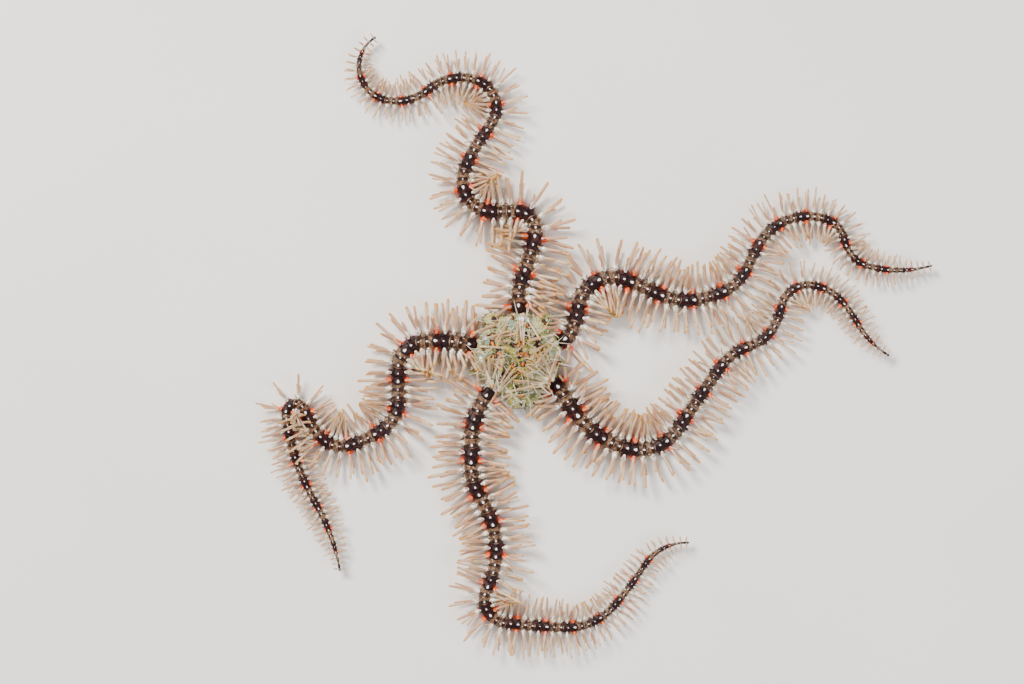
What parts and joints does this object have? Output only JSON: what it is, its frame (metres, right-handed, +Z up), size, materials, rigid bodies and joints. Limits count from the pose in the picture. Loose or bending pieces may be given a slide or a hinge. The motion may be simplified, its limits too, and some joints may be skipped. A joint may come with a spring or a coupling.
{
  "type": "brittle star",
  "caption": "Life-size still model of a brittle star: a small thorny disc with five long, winding, banded arms fringed with glassy spines, resting flat on its underside.",
  "frame": {"origin": "the mouth, at the middle of the disc's flat underside, on the surface that the animal lies on", "axes": "+Z up out of the disc's back, +Y to the picture's top, +X to the picture's right"},
  "size_m": [0.0771, 0.0715, 0.005],
  "materials": {
    "disc_skin": "granular yellow-green skin with brown and orange spots and glassy thorns",
    "arm_plates": "overlapping limy plates in plum-black and pale grey-brown bands, a white drop on each plate",
    "spines": "translucent pinkish-beige glassy spines, amber at the ends"
  },
  "bodies": {
    "root": {"disc": "disc_skin", "arm_top_root": "arm_plates", "arm_top_inner": "arm_plates", "arm_top_middle": "arm_plates", "arm_top_outer": "arm_plates", "arm_top_tip": "arm_plates", "arm_upper_right_root": "arm_plates", "arm_upper_right_inner": "arm_plates", "arm_upper_right_middle": "arm_plates", "arm_upper_right_outer": "arm_plates", "arm_upper_right_tip": "arm_plates", "arm_lower_right_root": "arm_plates", "arm_lower_right_inner": "arm_plates", "arm_lower_right_middle": "arm_plates", "arm_lower_right_outer": "arm_plates", "arm_lower_right_tip": "arm_plates", "arm_bottom_root": "arm_plates", "arm_bottom_inner": "arm_plates", "arm_bottom_middle": "arm_plates", "arm_bottom_outer": "arm_plates", "arm_bottom_tip": "arm_plates", "arm_left_root": "arm_plates", "arm_left_inner": "arm_plates", "arm_left_middle": "arm_plates", "arm_left_outer": "arm_plates", "arm_left_tip": "arm_plates"}
  },
  "joints": []
}
